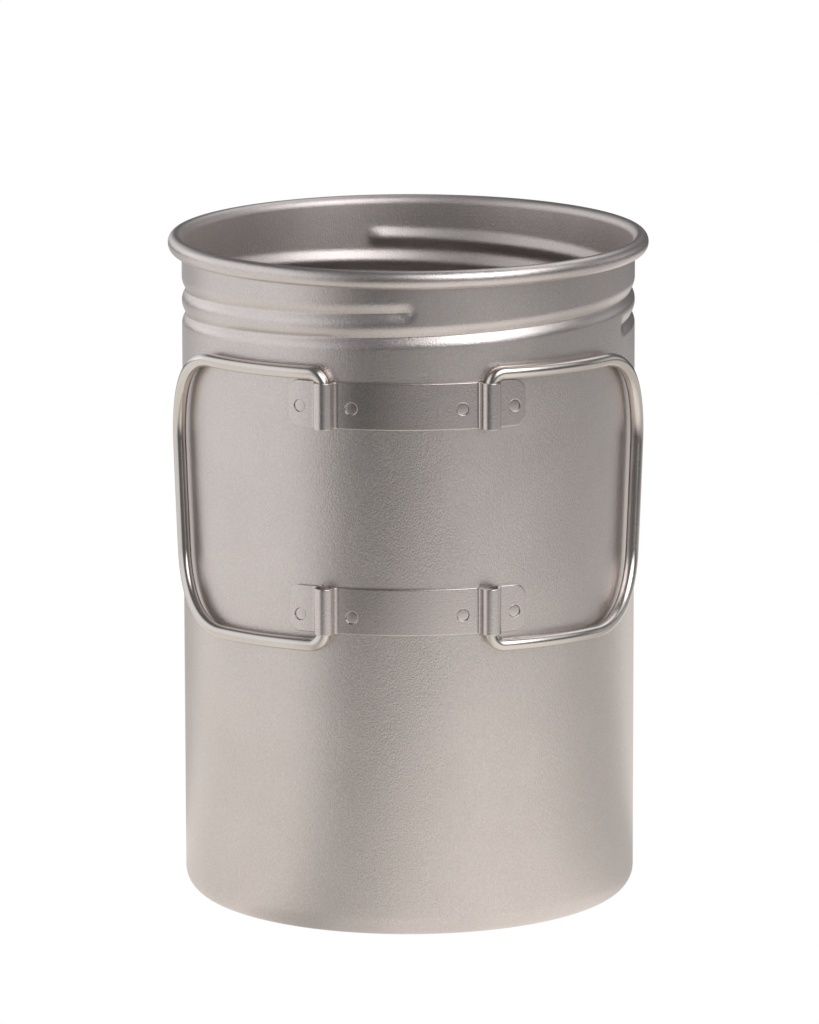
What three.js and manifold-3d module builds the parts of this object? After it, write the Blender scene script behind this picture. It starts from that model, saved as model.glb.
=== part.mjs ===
// One-litre titanium camping pot with a rolled rim, a pressed screw thread for a lid, and two wire
// handles that fold flat against the wall.
//
// Units are millimetres and +Z is up. The origin is the centre of the base's underside. The brackets
// face -Y, so left is -X and right is +X. Angles round the pot are counted from -Y, growing towards
// +X: in radians where a function takes an angle, and in degrees where a constant states one.

import * as THREE from 'three';
import { mergeVertices } from 'three/addons/utils/BufferGeometryUtils.js';
import Module from 'manifold-3d';

const wasm = await Module();
wasm.setup();

const DEGREE = Math.PI / 180;
const SIDES = { left: -1, right: 1 };

// Pot body: one drawn piece of thin sheet.
const BODY_RADIUS = 48;
const BODY_SHEET = 0.4;
const BASE_CORNER = 4.8;

// Rim: the sheet curls outwards into an upright oval tube, nearly all the way round, and its edge
// stops just off the wall.
const RIM_HALF_WIDTH = 1.65;
const RIM_HALF_HEIGHT = 1.95;
const RIM_HEIGHT = 142.1;
const RIM_CURL_END = -120;

// Thread: two grooves pressed inwards from outside, rising towards +X. Each is given by its upper
// end and runs down from there.
const THREAD_LEAD = 10.2;
const GROOVE_WIDTH = 4;
const GROOVE_DEPTH = 0.87;
const GROOVE_SWEEP = 295;
const GROOVE_FADE = 4;
const GROOVES = [
  { topAngle: 3, topHeight: 132.95 },
  { topAngle: 192, topHeight: 133.25 },
];
const THREAD_BAND = { low: 122.2, high: 135.7, rings: 17 };

// Brackets: two alike straps bent to the wall, each with two knuckles that hold the wire ends.
const STRAP_SHEET = 0.5;
const STRAP_WIDTH = 9.8;
const STRAP_GAP = 0.1;
const STRAP_END_ANGLE = 30.4;
const STRAP_CORNER = 2.5;
const STRAP_FOOT_BEND = 0.6;
const STRAP_HEIGHTS = { upper: 113.35, lower: 69.95 };

// Handles: bent wire, hinged in the knuckles. The arms follow the wall and sink a little towards
// the leg, which leans so that its upper end is farther round the pot than its lower end.
const WIRE_RADIUS = 1.4;
const WIRE_CLEARANCE = 0.3;
const HINGE_ANGLE = 20.5;
const HINGE_RADIUS = 49.6;
const HINGE_BEND = 2.8;
const PIN_TIPS = { upper: 109.5, lower: 74 };
const ARM_HEIGHTS = { upper: 120.2, lower: 62.65 };
const ARM_LENGTH = 46.4;
const ARM_RADIUS_AT_LEG = 49.9;
const ARM_SLOPE = 1.2;
const WRAP_RADIUS = 50;
const LEG_CORNER = 17.5;
const LEG_LEAN = 8;

// Spot welds: sunken discs left by the electrodes, where a strap is fused to the wall. Each drop is
// how far the welds sit below the middle of their strap.
const WELD_RADIUS = 1.25;
const WELD_DEPTH = 0.25;
const WELD_GAP = 0.05;
const WELD_ANGLES = { inner: 13.8, outer: 27.3 };
const WELD_DROPS = { upper: { left: 0.55, right: 0.55 }, lower: { left: 1.3, right: 0.65 } };

// How finely curves are divided: steps round a full turn, a bend or an arc, and the longest
// straight run of strap or wire between two points.
const BODY_SEGMENTS = 64;
const CORNER_STEPS = 5;
const CURL_STEPS = 10;
const FOOT_STEPS = 3;
const ARCH_STEPS = 12;
const TRIM_STEPS = 6;
const WIRE_SIDES = 12;
const WIRE_BEND_STEPS = 7;
const WELD_SIDES = 20;
const LONGEST_STRAP_RUN = 2.5;
const LONGEST_WIRE_RUN = 4;

// How far cutting shapes, and the strap blank before it is trimmed, reach past what they cut.
const OVERLAP = 1;
const TRIM_LENGTH = 3;

// Sizes that follow from the ones above.
const STRAP_RADIUS = BODY_RADIUS + STRAP_GAP + STRAP_SHEET / 2;
const ARCH_RADIUS = WIRE_RADIUS + WIRE_CLEARANCE + STRAP_SHEET / 2;
const FOOT_RADIUS = STRAP_FOOT_BEND + STRAP_SHEET / 2;

const titanium = { color: 0xa59c95, roughness: 0.42, metalness: 1 };
const BODY_FINISH = new THREE.MeshStandardMaterial(titanium);
const STRAP_FINISH = new THREE.MeshStandardMaterial({ ...titanium, roughness: 0.38 });
const WIRE_FINISH = new THREE.MeshStandardMaterial({ ...titanium, roughness: 0.25 });
const WELD_FINISH = new THREE.MeshStandardMaterial({ ...titanium, roughness: 0.5 });

// ---- Helpers ----

function aroundPot(angle, radius, height) {
  return new THREE.Vector3(radius * Math.sin(angle), -radius * Math.cos(angle), height);
}

// Points along part of an oval in a plane, both ends included, from and to in degrees.
function ovalArc(centreX, centreY, radiusX, radiusY, from, to, steps) {
  return Array.from({ length: steps + 1 }, (_, i) => {
    const angle = (from + ((to - from) * i) / steps) * DEGREE;
    return new THREE.Vector2(centreX + radiusX * Math.cos(angle), centreY + radiusY * Math.sin(angle));
  });
}

function arc(centreX, centreY, radius, from, to, steps) {
  return ovalArc(centreX, centreY, radius, radius, from, to, steps);
}

// The points without those that repeat the one before.
function withoutRepeats(points) {
  return points.filter((point, i) => i === 0 || point.distanceTo(points[i - 1]) > 1e-4);
}

// A closed geometry as a solid that can be cut, with its shared corners merged.
function solidFrom(geometry) {
  const bare = geometry.clone();
  bare.deleteAttribute('normal');
  bare.deleteAttribute('uv');
  const merged = mergeVertices(bare);
  return new wasm.Manifold(new wasm.Mesh({
    numProp: 3,
    vertProperties: new Float32Array(merged.attributes.position.array),
    triVerts: new Uint32Array(merged.index.array),
  }));
}

function geometryFrom(solid) {
  const mesh = solid.getMesh();
  const geometry = new THREE.BufferGeometry();
  geometry.setAttribute('position', new THREE.BufferAttribute(mesh.vertProperties, 3));
  geometry.setIndex(new THREE.BufferAttribute(mesh.triVerts, 1));
  geometry.computeVertexNormals();
  return geometry;
}

function namedMesh(name, geometry, material) {
  const mesh = new THREE.Mesh(geometry, material);
  mesh.name = name;
  return mesh;
}

// ---- Pot body ----

// How far the grooves press the sheet inwards at a place on the wall.
function pressDepth(angle, height) {
  let depth = 0;
  for (const groove of GROOVES) {
    const down = THREE.MathUtils.euclideanModulo(groove.topAngle - angle / DEGREE, 360);
    const centre = groove.topHeight - (THREAD_LEAD * down) / 360;
    const across = Math.abs(height - centre) / (GROOVE_WIDTH / 2);
    const fromEnd = Math.min(down, GROOVE_SWEEP - down);
    if (across < 1 && fromEnd > 0) {
      const fade = Math.min(1, fromEnd / GROOVE_FADE);
      depth = Math.max(depth, (GROOVE_DEPTH * fade * (1 + Math.cos(Math.PI * across))) / 2);
    }
  }
  return depth;
}

// The wall's face at one radius, from the bottom of the threaded band to its top.
function bandFace(radius) {
  const { low, high, rings } = THREAD_BAND;
  const height = (i) => low + ((high - low) * i) / (rings - 1);
  return Array.from({ length: rings }, (_, i) => new THREE.Vector2(radius, height(i)));
}

// The curl's section at a depth below the face of the sheet that ends up outermost.
function curlFace(depth, from, to) {
  const curlX = BODY_RADIUS - BODY_SHEET + RIM_HALF_WIDTH;
  const curlY = RIM_HEIGHT - RIM_HALF_HEIGHT;
  return ovalArc(curlX, curlY, RIM_HALF_WIDTH - depth, RIM_HALF_HEIGHT - depth, from, to, CURL_STEPS);
}

// The sheet's section, as (distance from the axis, height): out along the underside, up the outer
// face, round the curl and back, then down the inner face to the axis.
function bodySection() {
  const cornerX = BODY_RADIUS - BASE_CORNER;
  return [
    new THREE.Vector2(0, 0),
    ...arc(cornerX, BASE_CORNER, BASE_CORNER, -90, 0, CORNER_STEPS),
    ...bandFace(BODY_RADIUS),
    ...curlFace(BODY_SHEET, 180, RIM_CURL_END),
    ...curlFace(0, RIM_CURL_END, 180),
    ...bandFace(BODY_RADIUS - BODY_SHEET).reverse(),
    ...arc(cornerX, BASE_CORNER, BASE_CORNER - BODY_SHEET, 0, -90, CORNER_STEPS),
    new THREE.Vector2(0, BODY_SHEET),
  ];
}

// Presses the grooves into both faces of the wall alike, so the sheet keeps its thickness.
function pressThread(geometry) {
  const places = geometry.attributes.position;
  for (let i = 0; i < places.count; i++) {
    const place = new THREE.Vector3().fromBufferAttribute(places, i);
    const radius = Math.hypot(place.x, place.y);
    const angle = Math.atan2(place.x, -place.y);
    if (place.z >= THREAD_BAND.low && place.z <= THREAD_BAND.high) {
      const pressed = aroundPot(angle, radius - pressDepth(angle, place.z), place.z);
      places.setXYZ(i, ...pressed);
    }
  }
}

function potBody() {
  const turned = new THREE.LatheGeometry(bodySection(), BODY_SEGMENTS);
  turned.rotateX(Math.PI / 2);
  pressThread(turned);
  return namedMesh('pot_body', geometryFrom(solidFrom(turned)), BODY_FINISH);
}

// ---- Brackets ----

// Points along the wall from one place to another, both included.
function alongWall(from, to, radius) {
  const steps = Math.ceil((to - from) / LONGEST_STRAP_RUN);
  return Array.from({ length: steps + 1 }, (_, i) => {
    return new THREE.Vector2(from + ((to - from) * i) / steps, radius);
  });
}

// One face of the right half of a strap seen from above, as (distance along the wall from the
// strap's middle, distance from the pot's axis). The offset is from the sheet's middle, outwards.
function strapHalfFace(offset) {
  const end = STRAP_END_ANGLE * DEGREE * STRAP_RADIUS + OVERLAP;
  const knuckle = HINGE_ANGLE * DEGREE * STRAP_RADIUS;
  const foot = ARCH_RADIUS + FOOT_RADIUS;
  const bendHeight = STRAP_RADIUS + FOOT_RADIUS;
  return [
    ...alongWall(0, knuckle - foot, STRAP_RADIUS + offset),
    ...arc(knuckle - foot, bendHeight, FOOT_RADIUS - offset, -90, 0, FOOT_STEPS),
    ...arc(knuckle, HINGE_RADIUS, ARCH_RADIUS + offset, 180, 0, ARCH_STEPS),
    ...arc(knuckle + foot, bendHeight, FOOT_RADIUS - offset, 180, 270, FOOT_STEPS),
    ...alongWall(knuckle + foot, end, STRAP_RADIUS + offset),
  ];
}

function strapFace(offset) {
  const right = strapHalfFace(offset);
  const left = right.map((point) => new THREE.Vector2(-point.x, point.y)).reverse();
  return withoutRepeats([...left, ...right]);
}

// The strap before its ends are trimmed: its view from above, raised to its width.
function strapBlank(height) {
  const outline = [...strapFace(STRAP_SHEET / 2), ...strapFace(-STRAP_SHEET / 2).reverse()];
  const shape = new THREE.Shape(outline.map((point) => {
    const place = aroundPot(point.x / STRAP_RADIUS, point.y, 0);
    return new THREE.Vector2(place.x, place.y);
  }));
  const blank = new THREE.ExtrudeGeometry(shape, { depth: STRAP_WIDTH, bevelEnabled: false });
  blank.translate(0, 0, height - STRAP_WIDTH / 2);
  return solidFrom(blank);
}

// What is trimmed off one end of a strap: everything outside an end with two rounded corners.
function endTrim(side, height) {
  const reach = STRAP_WIDTH / 2 + OVERLAP;
  const straight = STRAP_WIDTH / 2 - STRAP_CORNER;
  const shape = new THREE.Shape([
    new THREE.Vector2(-STRAP_CORNER, -reach),
    new THREE.Vector2(TRIM_LENGTH, -reach),
    new THREE.Vector2(TRIM_LENGTH, reach),
    new THREE.Vector2(-STRAP_CORNER, reach),
    ...arc(-STRAP_CORNER, straight, STRAP_CORNER, 90, 0, TRIM_STEPS),
    ...arc(-STRAP_CORNER, -straight, STRAP_CORNER, 0, -90, TRIM_STEPS),
  ]);
  const depth = STRAP_SHEET + 4 * OVERLAP;
  const trim = new THREE.ExtrudeGeometry(shape, { depth, bevelEnabled: false });
  trim.translate(0, 0, -depth / 2);
  const angle = side * STRAP_END_ANGLE * DEGREE;
  const outwards = aroundPot(angle, 1, 0);
  const up = new THREE.Vector3(0, 0, side);
  const along = new THREE.Vector3().crossVectors(up, outwards);
  trim.applyMatrix4(new THREE.Matrix4().makeBasis(along, up, outwards));
  trim.translate(...aroundPot(angle, STRAP_RADIUS, height));
  return solidFrom(trim);
}

// Every weld: its name, the strap it is in and its place.
function welds() {
  const list = [];
  for (const strap of Object.keys(STRAP_HEIGHTS)) {
    for (const side of Object.keys(SIDES)) {
      for (const seat of Object.keys(WELD_ANGLES)) {
        const angle = SIDES[side] * WELD_ANGLES[seat] * DEGREE;
        const height = STRAP_HEIGHTS[strap] - WELD_DROPS[strap][side];
        list.push({ name: `weld_${strap}_${side}_${seat}`, strap, angle, height });
      }
    }
  }
  return list;
}

// Turns a cylinder, which lies along Y, to point straight out of the wall.
function facingOut(angle) {
  return new THREE.Quaternion().setFromUnitVectors(new THREE.Vector3(0, 1, 0), aroundPot(angle, 1, 0));
}

function weldHole(weld) {
  const radius = WELD_RADIUS + WELD_GAP;
  const depth = STRAP_SHEET + 2 * OVERLAP;
  const drill = new THREE.CylinderGeometry(radius, radius, depth, WELD_SIDES);
  drill.applyQuaternion(facingOut(weld.angle));
  drill.translate(...aroundPot(weld.angle, STRAP_RADIUS, weld.height));
  return solidFrom(drill);
}

function bracket(strap) {
  const height = STRAP_HEIGHTS[strap];
  let solid = strapBlank(height);
  for (const side of Object.values(SIDES)) {
    solid = solid.subtract(endTrim(side, height));
  }
  for (const weld of welds().filter((each) => each.strap === strap)) {
    solid = solid.subtract(weldHole(weld));
  }
  return namedMesh(`${strap}_bracket`, geometryFrom(solid), STRAP_FINISH);
}

function weldDisc(weld) {
  const thickness = STRAP_SHEET - WELD_DEPTH;
  const disc = new THREE.CylinderGeometry(WELD_RADIUS, WELD_RADIUS, thickness, WELD_SIDES);
  const mesh = namedMesh(weld.name, disc, WELD_FINISH);
  const seat = STRAP_RADIUS - STRAP_SHEET / 2 + thickness / 2;
  mesh.quaternion.copy(facingOut(weld.angle));
  mesh.position.copy(aroundPot(weld.angle, seat, weld.height));
  return mesh;
}

// ---- Handles ----

// A curve through given points, each an equal step of its parameter, so that bends keep the
// closer points they were given.
class WireLine extends THREE.Curve {
  constructor(points) {
    super();
    this.points = points;
  }

  getPoint(t) {
    const place = THREE.MathUtils.clamp(t, 0, 1) * (this.points.length - 1);
    const first = Math.min(Math.floor(place), this.points.length - 2);
    return this.points[first].clone().lerp(this.points[first + 1], place - first);
  }

  getUtoTmapping(u) {
    return u;
  }
}

// A line through corners, each rounded to its radius, with long straight runs divided.
function roundedLine(corners) {
  const points = [corners[0].place];
  for (let i = 1; i < corners.length - 1; i++) {
    const { place, radius } = corners[i];
    const back = corners[i - 1].place.clone().sub(place).normalize();
    const ahead = corners[i + 1].place.clone().sub(place).normalize();
    const halfAngle = Math.acos(back.dot(ahead)) / 2;
    const inwards = back.clone().add(ahead).normalize();
    const centre = place.clone().addScaledVector(inwards, radius / Math.sin(halfAngle));
    const start = place.clone().addScaledVector(back, radius / Math.tan(halfAngle)).sub(centre);
    const turn = Math.sign(ahead.cross(back)) * (Math.PI - 2 * halfAngle);
    for (let step = 0; step <= WIRE_BEND_STEPS; step++) {
      const spoke = start.clone().rotateAround(new THREE.Vector2(), (turn * step) / WIRE_BEND_STEPS);
      points.push(spoke.add(centre));
    }
  }
  points.push(corners.at(-1).place);
  return divided(points, LONGEST_WIRE_RUN);
}

function divided(points, longest) {
  const result = [points[0]];
  for (let i = 1; i < points.length; i++) {
    const steps = Math.ceil(points[i].distanceTo(points[i - 1]) / longest);
    for (let step = 1; step <= steps; step++) {
      result.push(points[i - 1].clone().lerp(points[i], step / steps));
    }
  }
  return result;
}

// The wire's centre line laid flat, as (distance round the pot from the hinge, height): up out of
// the upper knuckle, along the upper arm, down the leg, and back to the lower knuckle.
function flatWire() {
  const { upper, lower } = ARM_HEIGHTS;
  const lean = ((upper - lower) / 2) * Math.tan(LEG_LEAN * DEGREE);
  const corner = (x, y, radius) => ({ place: new THREE.Vector2(x, y), radius });
  return roundedLine([
    corner(0, PIN_TIPS.upper, 0),
    corner(0, upper, HINGE_BEND),
    corner(ARM_LENGTH + lean, upper, LEG_CORNER),
    corner(ARM_LENGTH - lean, lower, LEG_CORNER),
    corner(0, lower, HINGE_BEND),
    corner(0, PIN_TIPS.lower, 0),
  ]);
}

// The same line wrapped round the pot, sinking and drifting away from the wall towards the leg.
function wireCentreLine(side) {
  return flatWire().map((point) => {
    const angle = side * (HINGE_ANGLE * DEGREE + point.x / WRAP_RADIUS);
    const drift = ((ARM_RADIUS_AT_LEG - HINGE_RADIUS) * point.x) / ARM_LENGTH;
    const sunk = point.x * Math.tan(ARM_SLOPE * DEGREE);
    return aroundPot(angle, HINGE_RADIUS + drift, point.y - sunk);
  });
}

// The handle's own origin is on its hinge axis, at the height of the pot's base.
function handle(name) {
  const side = SIDES[name];
  const hinge = aroundPot(side * HINGE_ANGLE * DEGREE, HINGE_RADIUS, 0);
  const line = wireCentreLine(side).map((point) => point.sub(hinge));
  const section = new THREE.Shape(arc(0, 0, WIRE_RADIUS, 0, 360, WIRE_SIDES).slice(1));
  const bent = new THREE.ExtrudeGeometry(section, {
    extrudePath: new WireLine(line),
    steps: line.length - 1,
    bevelEnabled: false,
  });
  const mesh = namedMesh(`${name}_handle`, geometryFrom(solidFrom(bent)), WIRE_FINISH);
  mesh.position.copy(hinge);
  return mesh;
}

// ---- The pot ----

const pot = new THREE.Group();
pot.add(potBody());
for (const strap of Object.keys(STRAP_HEIGHTS)) {
  pot.add(bracket(strap));
}
for (const weld of welds()) {
  pot.add(weldDisc(weld));
}
for (const side of Object.keys(SIDES)) {
  pot.add(handle(side));
}

export default pot;
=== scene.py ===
"""Looks of a titanium camping pot with two folding wire handles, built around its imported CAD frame.

Lengths are in millimetres until a mesh is made, and Blender gets metres. Angles round the pot are
counted from -Y, where the brackets are, and grow towards +X.
"""

from collections import namedtuple
import math

import bpy
import numpy as np
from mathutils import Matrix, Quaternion, Vector


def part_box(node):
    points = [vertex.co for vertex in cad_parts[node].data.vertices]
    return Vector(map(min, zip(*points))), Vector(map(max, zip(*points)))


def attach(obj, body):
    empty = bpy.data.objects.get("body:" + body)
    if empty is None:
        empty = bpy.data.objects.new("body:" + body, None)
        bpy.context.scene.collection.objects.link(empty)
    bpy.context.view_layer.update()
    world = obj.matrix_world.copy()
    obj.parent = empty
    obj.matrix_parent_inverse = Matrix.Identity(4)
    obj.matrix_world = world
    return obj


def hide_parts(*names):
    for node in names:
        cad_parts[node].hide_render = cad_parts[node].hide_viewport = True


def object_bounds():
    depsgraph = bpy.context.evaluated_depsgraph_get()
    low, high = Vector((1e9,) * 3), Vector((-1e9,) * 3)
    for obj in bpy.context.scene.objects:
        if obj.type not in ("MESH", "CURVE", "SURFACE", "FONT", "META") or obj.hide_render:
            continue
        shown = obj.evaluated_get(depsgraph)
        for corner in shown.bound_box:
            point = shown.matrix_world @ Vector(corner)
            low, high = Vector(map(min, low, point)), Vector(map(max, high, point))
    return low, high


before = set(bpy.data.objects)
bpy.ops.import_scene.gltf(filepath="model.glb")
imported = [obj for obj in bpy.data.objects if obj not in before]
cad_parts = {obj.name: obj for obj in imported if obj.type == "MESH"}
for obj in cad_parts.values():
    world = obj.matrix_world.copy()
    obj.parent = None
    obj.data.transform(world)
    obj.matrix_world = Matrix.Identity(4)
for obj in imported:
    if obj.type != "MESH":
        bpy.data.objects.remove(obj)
cad_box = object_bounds()

MM = 0.001
SIDES = {"left": -1, "right": 1}
QUARTER = math.pi / 2

# Pot body
POT_HEIGHT = cad_box[1].z / MM
RIM_RADIUS = cad_box[1].x / MM
BODY_RADIUS = 48.0
BODY_SHEET = 0.4
INNER_RADIUS = BODY_RADIUS - BODY_SHEET
BASE_CORNER = 4.8
CURL_HALF_WIDTH = (RIM_RADIUS - INNER_RADIUS) / 2
CURL_HALF_HEIGHT = 1.95
CURL_END = math.radians(-120)

# Pressed thread: each groove is given by its upper end and runs down from there. Outside, its sides
# meet in a crease. Its depth is given as if the crease were sharp, and its softness as a part of its
# half width. Inside, it shows as a rounded ridge.
THREAD_LEAD = 10.2
GROOVE_DEPTH = 0.95
GROOVE_HALF_WIDTH = 2.45
CREASE_SOFTNESS = 0.06
CREASE_POWER = 1.9
RIDGE_DEPTH = 0.84
GROOVE_SWEEP = math.radians(295)
GROOVE_FADE = math.radians(4.5)
GROOVES = [(math.radians(3), 132.95), (math.radians(192), 133.25)]
THREAD_BAND = (120.9, 137.2)
PLAIN_WALL = (8, 115)

# Brackets: edge steps are how far in from an edge its points lie, as parts of its rounding
STRAP_SHEET = 0.5
STRAP_WIDTH = 9.8
STRAP_RADIUS = BODY_RADIUS + 0.1 + STRAP_SHEET / 2
STRAP_END = math.radians(30.4) * STRAP_RADIUS
STRAP_CORNER = 2.5
STRAP_EDGE = 0.16
EDGE_STEPS = (0, 0.15, 0.5, 1, 1.6)
FOOT_RADIUS = 1.05
ARCH_RADIUS = 1.78

# Spot welds: each drop is how far the welds sit below the middle of their strap, and a mark's depth
# is how far its bottom lies below the strap's face
WELD_HOLE = 1.3
HOLE_EDGE = 0.11
WELD_RADIUS = 1.285
WELD_BEVEL = 0.04
WELD_DOME = 0.04
MARK_DEPTH = 0.25
WELD_ANGLES = {"inner": math.radians(13.8), "outer": math.radians(27.3)}
WELD_DROPS = {"upper": {"left": 0.55, "right": 0.55}, "lower": {"left": 1.3, "right": 0.65}}

# Handles
WIRE_RADIUS = 1.4
WIRE_END_ROUNDING = 0.45
WIRE_STEP = 0.4
HINGE_ANGLE = math.radians(20.5)
HINGE_RADIUS = 49.6
HINGE_BEND = 2.8
PIN_TIPS = (109.5, 74.0)
ARM_HEIGHTS = (120.2, 62.65)
ARM_LENGTH = 46.4
ARM_RADIUS_AT_LEG = 49.9
ARM_SLOPE = math.radians(1.2)
WRAP_RADIUS = 50.0
LEG_CORNER = 17.5
LEG_LEAN = math.radians(8)


def middle_height(node):
    low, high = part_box(node)
    return (low.z + high.z) / 2 / MM


STRAP_HEIGHTS = {strap: middle_height(f"{strap}_bracket") for strap in ("upper", "lower")}


# ---- Mesh helpers ----

def around(angle, radius, height):
    """Points round the pot, from arrays or numbers of angles, radii and heights."""
    angle, radius, height = np.broadcast_arrays(angle, radius, height)
    return np.stack([radius * np.sin(angle), -radius * np.cos(angle), height], axis=-1)


def oval_arc(centre, radii, start, end, steps):
    """Points along part of an oval in a plane, both ends included, angles in radians."""
    turn = np.linspace(start, end, steps + 1)
    return np.stack([centre[0] + radii[0] * np.cos(turn), centre[1] + radii[1] * np.sin(turn)], axis=1)


def arc(centre, radius, start, end, steps):
    return oval_arc(centre, (radius, radius), start, end, steps)


def even_turn(sides):
    """Angles of the corners of a ring with a number of sides."""
    return np.linspace(0, 2 * math.pi, sides, endpoint=False)


def ring_faces(rows):
    """Quads that join closed rows of point numbers, each to the next."""
    faces = []
    for first, second in zip(rows, rows[1:]):
        for i in range(len(first)):
            j = (i + 1) % len(first)
            faces.append((first[i], first[j], second[j], second[i]))
    return faces


def closed_body(rings, first_middle, last_middle):
    """Points and faces of equal rings joined in order, each end closed round a middle point."""
    count, length = len(rings), len(rings[0])
    points = np.concatenate([*rings, [first_middle, last_middle]])
    rows = np.arange(count * length).reshape(count, length).tolist()
    faces = ring_faces(rows)
    for i in range(length):
        j = (i + 1) % length
        faces.append((count * length, rows[0][j], rows[0][i]))
        faces.append((count * length + 1, rows[-1][i], rows[-1][j]))
    return points, faces


def make_piece(name, points, faces, material, body):
    """A smooth mesh, given in millimetres, that rides on a body and stands for the CAD node it is
    named after."""
    mesh = bpy.data.meshes.new(name)
    mesh.from_pydata((np.asarray(points) * MM).tolist(), [], faces)
    mesh.shade_smooth()
    mesh.materials.append(material)
    piece = bpy.data.objects.new(f"{name}_surface", mesh)
    bpy.context.scene.collection.objects.link(piece)
    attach(piece, body)
    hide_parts(name)


# ---- Pot body ----

def press_depth(angle, height, shape):
    """How far the grooves press the sheet inwards at places on the wall."""
    depth = np.zeros(np.broadcast(angle, height).shape)
    for top_angle, top_height in GROOVES:
        down = np.mod(top_angle - angle, 2 * math.pi)
        centre = top_height - THREAD_LEAD * down / (2 * math.pi)
        across = np.clip(np.abs(height - centre) / GROOVE_HALF_WIDTH, 0, 1)
        from_end = np.clip(np.minimum(down, GROOVE_SWEEP - down) / GROOVE_FADE, 0, 1)
        fade = np.sin(QUARTER * from_end) ** 2
        depth = np.maximum(depth, fade * shape(across))
    return depth


def outer_groove(across):
    """The press seen from outside: wide soft shoulders that meet in a narrow crease."""
    softened = np.hypot(across, CREASE_SOFTNESS)
    return GROOVE_DEPTH * np.clip(1 - softened, 0, 1) ** CREASE_POWER


def inner_ridge(across):
    """The same press seen from inside, rounded by the sheet's thickness."""
    return RIDGE_DEPTH * (1 + np.cos(math.pi * across)) / 2


def curl_face(depth, start, end, steps):
    """The curl's section at a depth below the face of the sheet that ends up outermost."""
    centre = (INNER_RADIUS + CURL_HALF_WIDTH, POT_HEIGHT - CURL_HALF_HEIGHT)
    return oval_arc(centre, (CURL_HALF_WIDTH - depth, CURL_HALF_HEIGHT - depth), start, end, steps)


def wall_heights(steps):
    """Heights up the wall: far apart where it is plain, and close together over the thread."""
    return [*np.linspace(*PLAIN_WALL, 5), *np.linspace(*THREAD_BAND, steps)]


def body_section():
    """The sheet's section as (radius, height, press shape) rows, from the axis out and back to it."""
    corner = (BODY_RADIUS - BASE_CORNER, BASE_CORNER)
    lip_centre = curl_face(BODY_SHEET / 2, CURL_END, CURL_END, 0)[0]
    base_radii = (6, 18, 32)
    stretches = [
        ([(radius, 0) for radius in base_radii], None),
        (arc(corner, BASE_CORNER, -QUARTER, 0, 16), None),
        ([(BODY_RADIUS, height) for height in wall_heights(72)], outer_groove),
        (curl_face(BODY_SHEET, math.pi, CURL_END, 22), None),
        (arc(lip_centre, BODY_SHEET / 2, CURL_END - math.pi, CURL_END, 6)[1:-1], None),
        (curl_face(0, CURL_END, math.pi, 48), None),
        ([(INNER_RADIUS, height) for height in wall_heights(38)[::-1]], inner_ridge),
        (arc(corner, BASE_CORNER - BODY_SHEET, 0, -QUARTER, 10), None),
        ([(radius, BODY_SHEET) for radius in base_radii[::-1]], None),
    ]
    return [(radius, height, shape) for points, shape in stretches for radius, height in points]


def turn_steps():
    """Angles round the pot: one degree apart, and closer within 3 degrees of a groove's ends."""
    even = np.arange(0, 360, 1.0)
    ends = [math.degrees(top - run) for top, _ in GROOVES for run in (0, GROOVE_SWEEP)]
    close = [end + side * step for end in ends for side in (-1, 1) for step in np.arange(0.25, 3, 0.25)]
    return np.radians(np.unique(np.round(np.mod(np.concatenate([even, close]), 360), 4)))


def build_pot_body(material):
    turn = turn_steps()
    rings = [around(turn, radius - (press_depth(turn, height, shape) if shape else 0), height)
             for radius, height, shape in body_section()]
    points, faces = closed_body(rings, (0, 0, 0), (0, 0, BODY_SHEET))
    make_piece("pot_body", points, faces, material, "pot")


# ---- Brackets ----

def strap_line(offset):
    """One face of a strap from above, as (along the wall, from the axis) from its left end to its
    right. The offset is from the sheet's middle, outwards."""
    knuckle = HINGE_ANGLE * STRAP_RADIUS
    foot = ARCH_RADIUS + FOOT_RADIUS
    bend = STRAP_RADIUS + FOOT_RADIUS
    level = STRAP_RADIUS + offset
    even = np.arange(knuckle + foot, STRAP_END - STRAP_CORNER, 0.25)[1:]
    corner = STRAP_END - STRAP_CORNER * (1 - np.sin(np.linspace(0, QUARTER, 15)))
    half = np.concatenate([
        [(along, level) for along in np.linspace(0, knuckle - foot, 60)[:-1]],
        arc((knuckle - foot, bend), FOOT_RADIUS - offset, -QUARTER, 0, 8),
        arc((knuckle, HINGE_RADIUS), ARCH_RADIUS + offset, math.pi, 0, 28),
        arc((knuckle + foot, bend), FOOT_RADIUS - offset, math.pi, 1.5 * math.pi, 8),
        [(along, level) for along in (*even, *corner)],
    ])
    return np.concatenate([half[:0:-1] * [-1, 1], half])


def strap_columns():
    """Places across a strap, from its lower edge to its upper one, as parts of its half width."""
    edge = np.array(EDGE_STEPS) * STRAP_EDGE / (STRAP_WIDTH / 2)
    inner = np.linspace(-1 + edge[-1], 1 - edge[-1], 38)
    return np.concatenate([-1 + edge[:-1], inner, (1 - edge[:-1])[::-1]])


def half_width(along):
    """Half the strap's width at places along it, less where the corners of its ends are rounded."""
    into_corner = np.clip(np.abs(along) - (STRAP_END - STRAP_CORNER), 0, STRAP_CORNER)
    return STRAP_WIDTH / 2 - STRAP_CORNER + np.sqrt(STRAP_CORNER ** 2 - into_corner ** 2)


def from_outline(along, up):
    """Distance from a place on the strap to its outline."""
    to_end = STRAP_END - np.abs(along)
    to_side = STRAP_WIDTH / 2 - np.abs(up)
    in_corner = (to_end < STRAP_CORNER) & (to_side < STRAP_CORNER)
    to_corner = STRAP_CORNER - np.hypot(STRAP_CORNER - to_end, STRAP_CORNER - to_side)
    return np.where(in_corner, to_corner, np.minimum(to_end, to_side))


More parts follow.
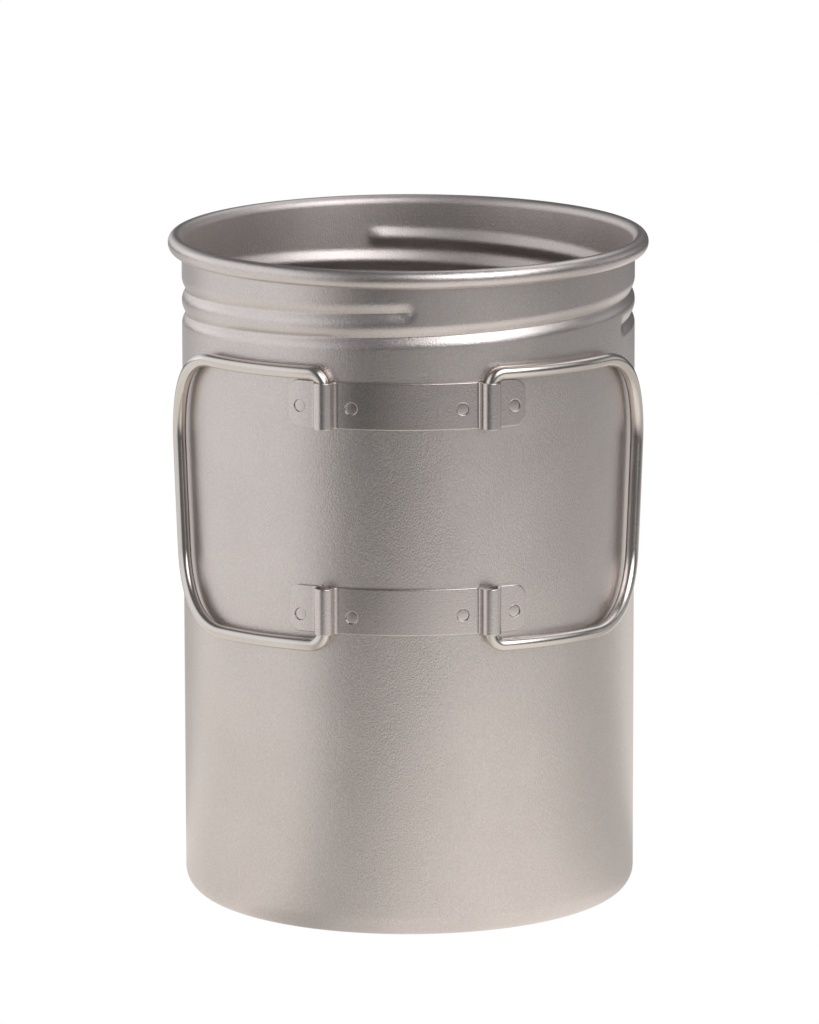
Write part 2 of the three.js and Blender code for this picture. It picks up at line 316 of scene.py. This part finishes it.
def rounded_half(inset, edge):
    """Half the strap's thickness at a distance in from an edge of a given rounding."""
    left = edge - np.clip(inset, 0, edge)
    return STRAP_SHEET / 2 - edge + np.sqrt(edge ** 2 - left ** 2)


class Sheet:
    """A bent sheet: points on its middle surface, each with its outward normal seen from above and
    half its thickness there, and the faces and border loops that join them."""

    def __init__(self):
        self.middle, self.normal, self.up, self.half = [], [], [], []
        self.faces, self.borders = [], []

    def add(self, middle, normal, up, half):
        first = len(self.middle)
        self.middle += list(middle)
        self.normal += list(normal)
        self.up += list(up)
        self.half += list(half)
        return list(range(first, len(self.middle)))

    def closed_mesh(self, height):
        """Points and faces of both skins and of the edges between them."""
        middle, normal = np.array(self.middle), np.array(self.normal)
        up, half = np.array(self.up), np.array(self.half)[:, None]
        skins = [middle + normal * half, middle - normal * half]
        points = np.concatenate([around(skin[:, 0] / STRAP_RADIUS, skin[:, 1], height + up)
                                 for skin in skins])
        count = len(middle)
        faces = [*self.faces, *[tuple(n + count for n in reversed(face)) for face in self.faces]]
        for loop in self.borders:
            faces += [(b, a, a + count, b + count) for a, b in zip(loop, loop[1:] + loop[:1])]
        return points, faces


def add_strap_grid(sheet, middle, columns):
    """Adds a row of points across the strap at each place of its middle line."""
    normal = (strap_line(STRAP_SHEET / 2) - strap_line(-STRAP_SHEET / 2)) / STRAP_SHEET
    grid = []
    for place, out, width in zip(middle, normal, half_width(middle[:, 0])):
        up = columns * width
        count = len(up)
        half = rounded_half(from_outline(place[0], up), STRAP_EDGE)
        grid.append(sheet.add([place] * count, [out] * count, up, half))
    return grid


def rectangle_loop(grid, i0, i1, j0, j1):
    """Point numbers round a rectangle of a grid, counterclockwise seen from outside the pot."""
    return [*[grid[i][j0] for i in range(i0, i1)], *[grid[i1][j] for j in range(j0, j1)],
            *[grid[i][j1] for i in range(i1, i0, -1)], *[grid[i0][j] for j in range(j1, j0, -1)]]


def add_grid_faces(sheet, grid, windows):
    """Joins a grid's points with quads, except inside windows of its cells."""
    for i in range(len(grid) - 1):
        for j in range(len(grid[0]) - 1):
            if not any(i0 <= i < i1 and j0 <= j < j1 for i0, i1, j0, j1 in windows):
                sheet.faces.append((grid[i][j], grid[i + 1][j], grid[i + 1][j + 1], grid[i][j + 1]))
    sheet.borders.append(rectangle_loop(grid, 0, len(grid) - 1, 0, len(grid[0]) - 1))


def weld_places(strap):
    """Where a strap's welds are, as (along the wall, up from the strap's middle)."""
    return [(sign * angle * STRAP_RADIUS, -WELD_DROPS[strap][side])
            for side, sign in SIDES.items() for angle in WELD_ANGLES.values()]


def weld_window(alongs, ups, along, up):
    """The smallest rectangle of grid cells that leaves room for a weld hole and its rounded edge."""
    reach = WELD_HOLE + 3 * HOLE_EDGE
    return (int(np.flatnonzero(alongs <= along - reach)[-1]),
            int(np.flatnonzero(alongs >= along + reach)[0]),
            int(np.flatnonzero(ups <= up - reach)[-1]),
            int(np.flatnonzero(ups >= up + reach)[0]))


def cut_weld_hole(sheet, outside, along, up):
    """Fills a rectangle of the grid with rings that close in on a round hole with rounded edges."""
    corner = np.array([(sheet.middle[n][0] - along, sheet.up[n] - up) for n in outside])
    spoke = corner / np.hypot(*corner.T)[:, None]
    rings = [outside]
    for inset in np.array(EDGE_STEPS[::-1]) * HOLE_EDGE:
        place = spoke * (WELD_HOLE + inset) + [along, up]
        count = len(outside)
        middle = [(each, STRAP_RADIUS) for each in place[:, 0]]
        half = np.full(count, rounded_half(inset, HOLE_EDGE))
        rings.append(sheet.add(middle, [(0, 1)] * count, place[:, 1], half))
    sheet.faces += ring_faces(rings)
    sheet.borders.append(rings[-1][::-1])


def build_bracket(strap, material):
    sheet = Sheet()
    middle = (strap_line(STRAP_SHEET / 2) + strap_line(-STRAP_SHEET / 2)) / 2
    columns = strap_columns()
    grid = add_strap_grid(sheet, middle, columns)
    places = weld_places(strap)
    windows = [weld_window(middle[:, 0], columns * STRAP_WIDTH / 2, along, up) for along, up in places]
    add_grid_faces(sheet, grid, windows)
    for window, (along, up) in zip(windows, places):
        cut_weld_hole(sheet, rectangle_loop(grid, *window), along, up)
    points, faces = sheet.closed_mesh(STRAP_HEIGHTS[strap])
    make_piece(f"{strap}_bracket", points, faces, material, "pot")


def build_weld(name, along, height, material):
    """A spot weld: the fused metal at the bottom of the electrode's mark, very slightly domed."""
    seat = STRAP_RADIUS - STRAP_SHEET / 2
    top = STRAP_SHEET - MARK_DEPTH
    underside = [(0.5, 0), (1.0, 0), (WELD_RADIUS, 0)]
    bevel = [(WELD_RADIUS, top - WELD_BEVEL), (WELD_RADIUS - 0.03, top)]
    dome = [(WELD_RADIUS - 0.12, top + 0.015), (0.8, top + 0.025), (0.4, top + 0.035)]
    turn = even_turn(56)
    rings = [around((along + radius * np.cos(turn)) / STRAP_RADIUS, seat + out,
                    height + radius * np.sin(turn)) for radius, out in (*underside, *bevel, *dome)]
    middles = [around(along / STRAP_RADIUS, seat + out, height) for out in (0, top + WELD_DOME)]
    points, faces = closed_body(rings, *middles)
    make_piece(name, points, faces, material, "pot")


# ---- Handles ----

def rounded_line(corners, spacing):
    """A line through (x, y, radius) corners, each rounded, with points about a spacing apart."""
    points = [np.array(corners[0][:2])]
    for before, (x, y, radius), after in zip(corners, corners[1:], corners[2:]):
        place = np.array((x, y))
        back, ahead = (np.array(end[:2]) - place for end in (before, after))
        back, ahead = back / np.hypot(*back), ahead / np.hypot(*ahead)
        half = math.acos(back @ ahead) / 2
        centre = place + (back + ahead) / np.hypot(*(back + ahead)) * radius / math.sin(half)
        start = place + back * radius / math.tan(half) - centre
        swing = (math.pi - 2 * half) * np.sign(ahead[0] * back[1] - ahead[1] * back[0])
        first = math.atan2(start[1], start[0])
        steps = math.ceil(radius * abs(swing) / spacing)
        points += list(arc(centre, radius, first, first + swing, steps))
    points.append(np.array(corners[-1][:2]))
    line = [points[0]]
    for start, end in zip(points, points[1:]):
        steps = max(1, math.ceil(np.hypot(*(end - start)) / (2 * spacing)))
        line += [start + (end - start) * step / steps for step in range(1, steps + 1)]
    return np.array(line)


def wire_line(side):
    """The wire's centre line round the pot, from the upper knuckle to the lower one."""
    upper, lower = ARM_HEIGHTS
    lean = (upper - lower) / 2 * math.tan(LEG_LEAN)
    flat = rounded_line([
        (0, PIN_TIPS[0], 0),
        (0, upper, HINGE_BEND),
        (ARM_LENGTH + lean, upper, LEG_CORNER),
        (ARM_LENGTH - lean, lower, LEG_CORNER),
        (0, lower, HINGE_BEND),
        (0, PIN_TIPS[1], 0),
    ], WIRE_STEP)
    drift = (ARM_RADIUS_AT_LEG - HINGE_RADIUS) / ARM_LENGTH
    angle = side * (HINGE_ANGLE + flat[:, 0] / WRAP_RADIUS)
    sunk = flat[:, 0] * math.tan(ARM_SLOPE)
    return around(angle, HINGE_RADIUS + drift * flat[:, 0], flat[:, 1] - sunk)


def rounded_end(ring, outwards):
    """Rings that round off a wire's end, in the order from its side to its tip."""
    place, along, spoke, radius = ring
    rings = []
    for turn in np.linspace(0, QUARTER, 6):
        back = WIRE_END_ROUNDING * (1 - math.sin(turn))
        less = WIRE_END_ROUNDING * (1 - math.cos(turn))
        rings.append((place - outwards * along * back, along, spoke, radius - less))
    return rings


def wire_rings(line):
    """The wire's rings along its line, as (middle, direction, spoke, radius), with rounded ends."""
    ahead = np.gradient(line, axis=0)
    ahead /= np.linalg.norm(ahead, axis=1)[:, None]
    # Any direction across the wire does for its first spoke.
    spoke = np.cross(ahead[0], around(0.3, 1, 0))
    rings = []
    for place, along in zip(line, ahead):
        spoke = spoke - along * (spoke @ along)
        spoke /= np.linalg.norm(spoke)
        rings.append((place, along, spoke, WIRE_RADIUS))
    return [*rounded_end(rings[0], -1)[::-1], *rings[2:-2], *rounded_end(rings[-1], 1)]


def build_handle(side, material):
    """A round wire swept along its line."""
    line = wire_line(SIDES[side])
    turn = even_turn(32)[:, None]
    rings = [place + radius * (np.cos(turn) * spoke + np.sin(turn) * np.cross(along, spoke))
             for place, along, spoke, radius in wire_rings(line)]
    points, faces = closed_body(rings, line[0], line[-1])
    make_piece(f"{side}_handle", points, faces, material, f"{side}_handle")


# ---- Materials ----

# Noise in a surface: its size and depth in millimetres, and how much longer it is each way
Relief = namedtuple("Relief", "size depth stretch")

WARM_GREY = (0.632, 0.576, 0.556)
WIRE_GREY = (0.66, 0.61, 0.57)

# Most noise lies in this range
NOISE_RANGE = (0.25, 0.75)

# A slow drift over the metal: its size, and how much it changes the tone and the roughness
CLOUD_SIZE = 14.0
CLOUD_TONE = 0.03
CLOUD_ROUGHNESS = 0.015

# How much the lines change the tone, and the grain the roughness
LINE_TONE = 0.01
GRAIN_ROUGHNESS = 0.02

# Cosines of the angle to the outward direction: wholly the inner face, and none of it
INNER_FACE = (-0.7, -0.3)


def new_material(name):
    material = bpy.data.materials.new(name)
    material.use_nodes = True
    tree = material.node_tree
    tree.nodes.clear()
    return material, tree


def link(tree, start, end):
    tree.links.new(start, end)


def add_node(tree, kind, **settings):
    """A node with its properties and inputs set by name, or inputs by number as _0, _1 and so on. An
    input is linked when it is given a socket."""
    node = tree.nodes.new(kind)
    for key, value in settings.items():
        if hasattr(node, key) and key not in node.inputs:
            setattr(node, key, value)
            continue
        socket = node.inputs[key] if key in node.inputs else node.inputs[int(key.strip("_"))]
        if isinstance(value, bpy.types.NodeSocket):
            link(tree, value, socket)
        else:
            socket.default_value = value
    return node


def math_node(tree, operation, first, second=0.0):
    return add_node(tree, "ShaderNodeMath", operation=operation, _0=first, _1=second).outputs[0]


def product(tree, first, second):
    return math_node(tree, "MULTIPLY", first, second)


def noise(tree, places, size, stretch=(1, 1, 1)):
    """Noise from 0 to 1 with features of about a size in millimetres, longer where stretch is more."""
    scaled = add_node(tree, "ShaderNodeVectorMath", operation="DIVIDE", _0=places,
                      _1=tuple(size * MM * part for part in stretch)).outputs[0]
    return add_node(tree, "ShaderNodeTexNoise", Vector=scaled, Scale=1.0, Detail=2.0).outputs[0]


def vary(tree, value, middle, by):
    """Noise spread over a range: a middle value, less and more by an amount."""
    low, high = NOISE_RANGE
    return add_node(tree, "ShaderNodeMapRange", _0=value, _1=low, _2=high, _3=middle - by,
                    _4=middle + by).outputs[0]


def fade_out(tree, value, near, far):
    """One up to a near value, falling smoothly to zero at a far one."""
    return add_node(tree, "ShaderNodeMapRange", interpolation_type="SMOOTHSTEP", _0=value,
                    _1=near, _2=far, _3=1.0, _4=0.0).outputs[0]


def inner_face(tree, places):
    """One where a surface faces the pot's axis, and zero where it faces up or outwards."""
    level = add_node(tree, "ShaderNodeVectorMath", operation="MULTIPLY", _0=places, _1=(1, 1, 0)).outputs[0]
    outwards = add_node(tree, "ShaderNodeVectorMath", operation="NORMALIZE", _0=level).outputs[0]
    normal = add_node(tree, "ShaderNodeNewGeometry").outputs["Normal"]
    facing = add_node(tree, "ShaderNodeVectorMath", operation="DOT_PRODUCT", _0=normal,
                      _1=outwards).outputs["Value"]
    return fade_out(tree, facing, *INNER_FACE)


def titanium(name, colour, roughness, grain, lines, speckle=0.0, inside=0.0):
    """Bare titanium with slight drifts of tone and gloss. Its grain and its lines are reliefs. Speckle
    is how much the grain changes the tone, and inside is how much rougher the face towards the pot's
    axis is."""
    material, tree = new_material(name)
    places = add_node(tree, "ShaderNodeTexCoord").outputs["Object"]
    cloud = noise(tree, places, CLOUD_SIZE)
    pits = noise(tree, places, grain.size, grain.stretch)
    marks = noise(tree, places, lines.size, lines.stretch)
    tone = product(tree, vary(tree, cloud, 1, CLOUD_TONE), vary(tree, marks, 1, LINE_TONE))
    tone = product(tree, tone, vary(tree, pits, 1, speckle))
    tint = add_node(tree, "ShaderNodeVectorMath", operation="SCALE", _0=colour, Scale=tone).outputs[0]
    gloss = math_node(tree, "ADD", vary(tree, cloud, roughness, CLOUD_ROUGHNESS),
                      vary(tree, pits, 0, GRAIN_ROUGHNESS))
    if inside:
        gloss = math_node(tree, "ADD", gloss, product(tree, inner_face(tree, places), inside))
    height = math_node(tree, "ADD", product(tree, pits, grain.depth * MM),
                       product(tree, marks, lines.depth * MM))
    bump = add_node(tree, "ShaderNodeBump", Strength=1.0, Distance=1.0, Height=height)
    surface = add_node(tree, "ShaderNodeBsdfPrincipled", Metallic=1.0, Roughness=gloss)
    link(tree, tint, surface.inputs["Base Color"])
    link(tree, bump.outputs[0], surface.inputs["Normal"])
    link(tree, surface.outputs[0], add_node(tree, "ShaderNodeOutputMaterial").inputs[0])
    return material


def blasted_titanium():
    """The body: an even blasted grain, over faint upright lines left by drawing the sheet."""
    grain = Relief(0.32, 0.048, (1, 1, 1.3))
    lines = Relief(0.3, 0.002, (1, 1, 60))
    return titanium("blasted_titanium", WARM_GREY, 0.33, grain, lines, speckle=0.11, inside=0.14)


def rolled_titanium():
    """The straps: smoother sheet, with faint lines along it from rolling."""
    grain = Relief(0.32, 0.015, (1, 1, 1))
    lines = Relief(0.5, 0.0015, (40, 40, 1))
    return titanium("rolled_titanium", WARM_GREY, 0.235, grain, lines, speckle=0.09)


def drawn_titanium():
    """The handle wire: bright, and nearly free of grain."""
    grain = Relief(0.4, 0.004, (1, 1, 1))
    lines = Relief(0.3, 0.002, (1, 1, 12))
    return titanium("drawn_titanium", WIRE_GREY, 0.2, grain, lines)


def weld_mark_titanium():
    """The bottoms of the electrode's marks."""
    grain = Relief(0.3, 0.012, (1, 1, 1))
    lines = Relief(0.25, 0.003, (2, 2, 2))
    return titanium("weld_mark_titanium", WARM_GREY, 0.235, grain, lines)


# ---- Studio ----

# Azimuths, elevations and angles are in degrees here, and distances in metres.

# The room's even glow, and its soft panels: azimuth, elevation, inner and outer angle, strength
ROOM_TINT = (0.99, 1.0, 1.02, 1.0)
ROOM_GLOW = 0.13
ROOM_PANELS = {
    "left_wall": (275, 5, 35, 58, 0.88),
    "key": (40, 35, 15, 34, 2.9),
    "key_spill": (78, 36, 8, 26, 0.65),
    "high_back": (142, 54, 13, 30, 1.0),
    "left_edge": (215, 4, 12, 32, 0.8),
    "right_edge": (117, 0, 10, 30, 0.5),
}

# The floor's even glow, and its pools of light: azimuth, inner and outer angle, near and far
# distance, strength. Its light is warm close to the pot and cooler far from it.
FLOOR_HALF_SIZE = 4.0
FLOOR_GAP = 0.05 * MM
FLOOR_WARM_REACH = (0.1, 0.8)
FLOOR_NEAR_TINT = (1.025, 1.0, 0.95, 1.0)
FLOOR_FAR_TINT = (0.99, 1.0, 1.02, 1.0)
FLOOR_GLOW = 0.08
FLOOR_POOLS = {
    "far_left": (278, 26, 58, 2.0, 3.9, 0.8),
    "right": (79, 51, 107, 0.25, 1.3, 0.55),
    "front": (17, 30, 82, 0.21, 0.5, 0.38),
    "front_left": (345, 10, 35, 0.1, 0.35, 0.16),
    "back_left": (215, 15, 40, 0.6, 1.7, 0.5),
    "back_right": (155, 15, 40, 0.4, 0.8, 0.4),
}

# The camera: its aim is in millimetres from the origin, and its roll in radians
CAMERA_LENS = 278.7
CAMERA_AIM = (0.15, 0, 81.5)
CAMERA_AZIMUTH = 0.4
CAMERA_ELEVATION = 11.5
CAMERA_DISTANCE = 1.6901
CAMERA_ROLL = -0.0021


def only_for_camera(tree, seen, lit):
    """Mixes two shaders: one for what the camera sees, and one for light and reflections."""
    is_camera = add_node(tree, "ShaderNodeLightPath").outputs["Is Camera Ray"]
    return add_node(tree, "ShaderNodeMixShader", _0=is_camera, _1=lit, _2=seen).outputs[0]


def direction(azimuth, elevation):
    """A unit vector from the pot: azimuth in degrees from the front towards +X, elevation up."""
    azimuth, elevation = math.radians(azimuth), math.radians(elevation)
    level = math.cos(elevation)
    return Vector((math.sin(azimuth) * level, -math.cos(azimuth) * level, math.sin(elevation)))


def soft_spot(tree, place, towards, inner, outer):
    """One within an angle of a direction, falling smoothly to zero at a wider angle, in degrees."""
    facing = add_node(tree, "ShaderNodeVectorMath", operation="DOT_PRODUCT", _0=place,
                      _1=tuple(towards)).outputs["Value"]
    return fade_out(tree, math_node(tree, "ARCCOSINE", facing), math.radians(inner), math.radians(outer))


def sum_of(tree, base, parts):
    """A base number plus each (strength, value) part."""
    total = base
    for strength, value in parts:
        total = math_node(tree, "ADD", total, product(tree, value, strength))
    return total


def build_world():
    world = bpy.data.worlds.new("studio_room")
    bpy.context.scene.world = world
    world.use_nodes = True
    tree = world.node_tree
    tree.nodes.clear()
    towards = add_node(tree, "ShaderNodeTexCoord").outputs["Generated"]
    panels = [(strength, soft_spot(tree, towards, direction(azimuth, elevation), inner, outer))
              for azimuth, elevation, inner, outer, strength in ROOM_PANELS.values()]
    glow = sum_of(tree, ROOM_GLOW, panels)
    seen = add_node(tree, "ShaderNodeBackground", Color=(1, 1, 1, 1), Strength=1.0).outputs[0]
    lit = add_node(tree, "ShaderNodeBackground", Color=ROOM_TINT, Strength=glow).outputs[0]
    output = add_node(tree, "ShaderNodeOutputWorld")
    link(tree, only_for_camera(tree, seen, lit), output.inputs[0])


def floor_glow(tree, place, distance):
    """How strongly the floor glows at a place, for light and reflections."""
    towards = add_node(tree, "ShaderNodeVectorMath", operation="NORMALIZE", _0=place).outputs[0]
    pools = []
    for azimuth, inner, outer, near, far, strength in FLOOR_POOLS.values():
        spot = soft_spot(tree, towards, direction(azimuth, 0), inner, outer)
        pools.append((strength, product(tree, fade_out(tree, distance, near, far), spot)))
    return sum_of(tree, FLOOR_GLOW, pools)


def pale_floor():
    """Plain white to the camera, and soft pools of light to the pot."""
    material, tree = new_material("pale_floor")
    place = add_node(tree, "ShaderNodeNewGeometry").outputs["Position"]
    distance = add_node(tree, "ShaderNodeVectorMath", operation="LENGTH", _0=place).outputs["Value"]
    glow = floor_glow(tree, place, distance)
    seen = add_node(tree, "ShaderNodeEmission", Strength=1.0).outputs[0]
    near, far = (add_node(tree, "ShaderNodeEmission", Color=tint, Strength=glow).outputs[0]
                 for tint in (FLOOR_NEAR_TINT, FLOOR_FAR_TINT))
    warmth = fade_out(tree, distance, *FLOOR_WARM_REACH)
    lit = add_node(tree, "ShaderNodeMixShader", _0=warmth, _1=far, _2=near).outputs[0]
    link(tree, only_for_camera(tree, seen, lit), add_node(tree, "ShaderNodeOutputMaterial").inputs[0])
    return material


def build_floor():
    mesh = bpy.data.meshes.new("floor")
    corners = [(-1, -1), (1, -1), (1, 1), (-1, 1)]
    points = [(x * FLOOR_HALF_SIZE, y * FLOOR_HALF_SIZE, -FLOOR_GAP) for x, y in corners]
    mesh.from_pydata(points, [], [(0, 1, 2, 3)])
    mesh.materials.append(pale_floor())
    floor = bpy.data.objects.new("floor", mesh)
    bpy.context.scene.collection.objects.link(floor)


def build_camera():
    data = bpy.data.cameras.new("camera")
    data.sensor_width = 36.0
    data.lens = CAMERA_LENS
    camera = bpy.data.objects.new("camera", data)
    towards = direction(CAMERA_AZIMUTH, CAMERA_ELEVATION)
    camera.location = Vector(CAMERA_AIM) * MM + CAMERA_DISTANCE * towards
    roll = Quaternion((0, 0, 1), CAMERA_ROLL)
    camera.rotation_euler = (towards.to_track_quat("Z", "Y") @ roll).to_euler()
    bpy.context.scene.collection.objects.link(camera)
    bpy.context.scene.camera = camera


# ---- The pot ----

def build_welds(strap, material):
    for side, sign in SIDES.items():
        height = STRAP_HEIGHTS[strap] - WELD_DROPS[strap][side]
        for seat, angle in WELD_ANGLES.items():
            build_weld(f"weld_{strap}_{side}_{seat}", sign * angle * STRAP_RADIUS, height, material)


def build_pot():
    build_pot_body(blasted_titanium())
    strap_metal, weld_metal = rolled_titanium(), weld_mark_titanium()
    for strap in STRAP_HEIGHTS:
        build_bracket(strap, strap_metal)
        build_welds(strap, weld_metal)
    wire_metal = drawn_titanium()
    for side in SIDES:
        build_handle(side, wire_metal)


build_pot()
build_world()
build_floor()
build_camera()
bpy.context.scene.view_settings.view_transform = "Standard"
